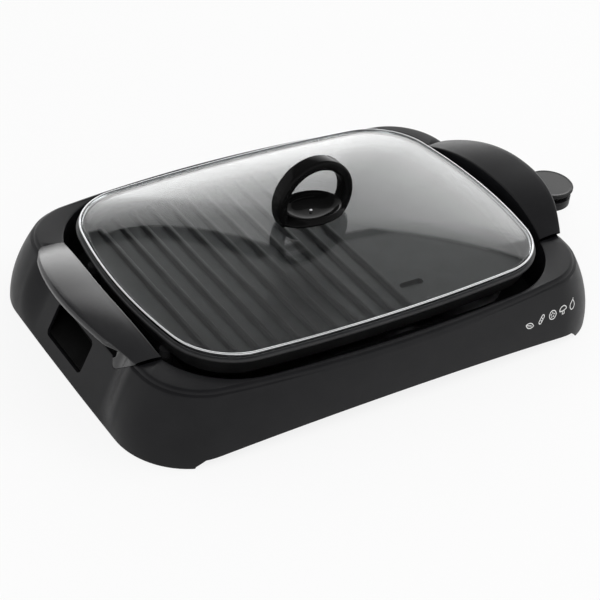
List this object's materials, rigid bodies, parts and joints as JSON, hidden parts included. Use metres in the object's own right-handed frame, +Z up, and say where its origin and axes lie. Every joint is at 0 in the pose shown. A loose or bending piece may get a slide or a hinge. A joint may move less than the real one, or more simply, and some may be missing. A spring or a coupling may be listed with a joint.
{
  "type": "electric table grill",
  "caption": "Electric table grill with a ribbed plate in a moulded base, a lift-off glass lid with a ring knob, and a plug-in temperature controller.",
  "frame": {"origin": "middle of the whole length (controller included) and of the width, on the table", "axes": "+X along the grill towards the controller, -Y towards the front, +Z up"},
  "size_m": [0.5926, 0.352, 0.1655],
  "materials": {
    "black_plastic": "satin, finely textured",
    "gloss_black": "polished",
    "handle_gloss": "semi-gloss",
    "pan_plastic": "matte",
    "rubber": "matte",
    "nonstick": "non-stick coating, satin",
    "element_steel": "dark oxidised",
    "tray_steel": "brushed",
    "bright_steel": "polished",
    "screw_steel": "zinc plated",
    "contact_brass": "plain",
    "ceramic": "matte",
    "dial_plastic": "satin",
    "clear_glass": "clear, tempered"
  },
  "bodies": {
    "base": {"base_housing": "black_plastic", "left_handle": "handle_gloss", "right_handle": "black_plastic", "handle_screws": "screw_steel", "base_pan": "pan_plastic", "base_screws": "screw_steel", "rubber_feet": "rubber"},
    "tray": {"drip_tray": "tray_steel"},
    "plate": {"grill_plate": "nonstick", "heating_element": "element_steel", "element_terminals": "contact_brass", "socket_shroud": "pan_plastic", "shroud_screws": "screw_steel"},
    "controller": {"controller_lower_shell": "black_plastic", "controller_upper_shell": "black_plastic", "temperature_probe": "bright_steel", "contact_sleeves": "contact_brass", "thermostat_switch": "ceramic", "controller_screws": "screw_steel", "cord_gland": "rubber"},
    "dial": {"dial": "dial_plastic", "dial_shaft": "bright_steel"},
    "lid": {"lid_glass": "clear_glass", "lid_band": "bright_steel", "lid_knob": "gloss_black", "knob_gasket": "rubber", "knob_washer": "screw_steel", "knob_screw": "screw_steel"}
  },
  "joints": [
    {"name": "tray_lift", "type": "slide", "parent": "base", "child": "tray", "axis": [0, 0, 1], "range_m": [0, 0.007]},
    {"name": "plate_lift", "type": "slide", "parent": "base", "child": "plate", "axis": [0, 0, 1], "range_m": [0, 0.012]},
    {"name": "lid_lift", "type": "slide", "parent": "plate", "child": "lid", "axis": [0, 0, 1], "range_m": [0, 0.12]},
    {"name": "controller_unplug", "type": "slide", "parent": "plate", "child": "controller", "axis": [1, 0, 0], "range_m": [0, 0.1]},
    {"name": "dial_turn", "type": "hinge", "parent": "controller", "child": "dial", "pos_m": [0.2707, 0, 0.05], "axis": [0, 0, -1], "range_deg": [0, 270]}
  ]
}
